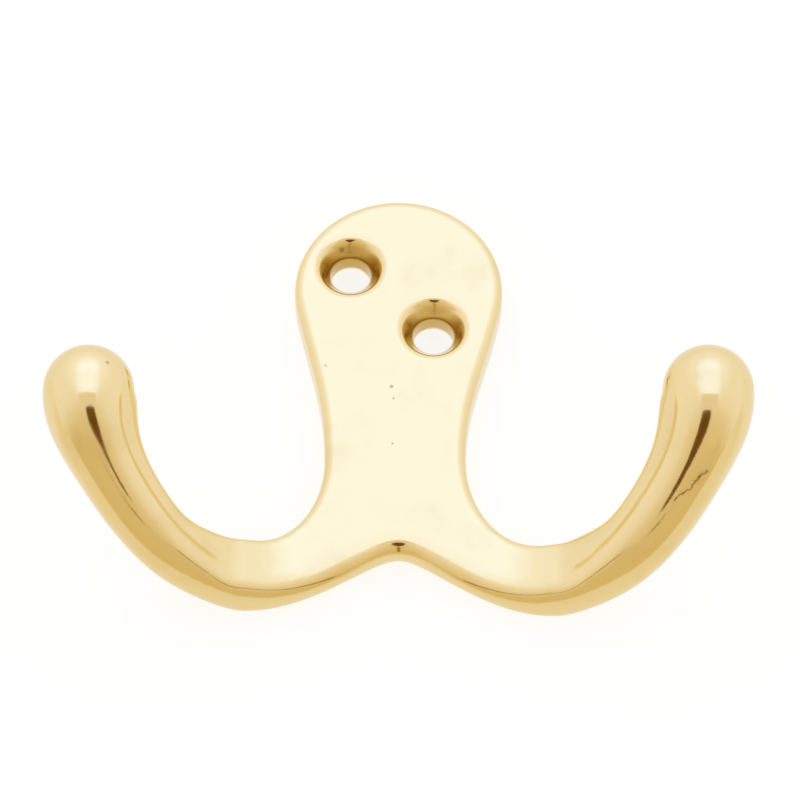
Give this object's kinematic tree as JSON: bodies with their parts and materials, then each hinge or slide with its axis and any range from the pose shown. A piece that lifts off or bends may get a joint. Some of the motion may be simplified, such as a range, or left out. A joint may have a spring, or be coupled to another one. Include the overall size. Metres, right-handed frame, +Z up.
{
  "type": "double robe hook",
  "caption": "Polished cast brass wall hook: a round-headed back plate with countersunk screw holes and a swept, ball-ended arm to each side for hanging robes or towels.",
  "frame": {"origin": "centre of the plate's round head, on its flat back face", "axes": "+Z up the wall, +X to the right seen from the front, +Y into the wall, so the arms stand out towards -Y"},
  "size_m": [0.072, 0.0245, 0.049],
  "materials": {
    "polished_brass": "polished"
  },
  "bodies": {
    "root": {"hook_casting": "polished_brass"}
  },
  "joints": []
}
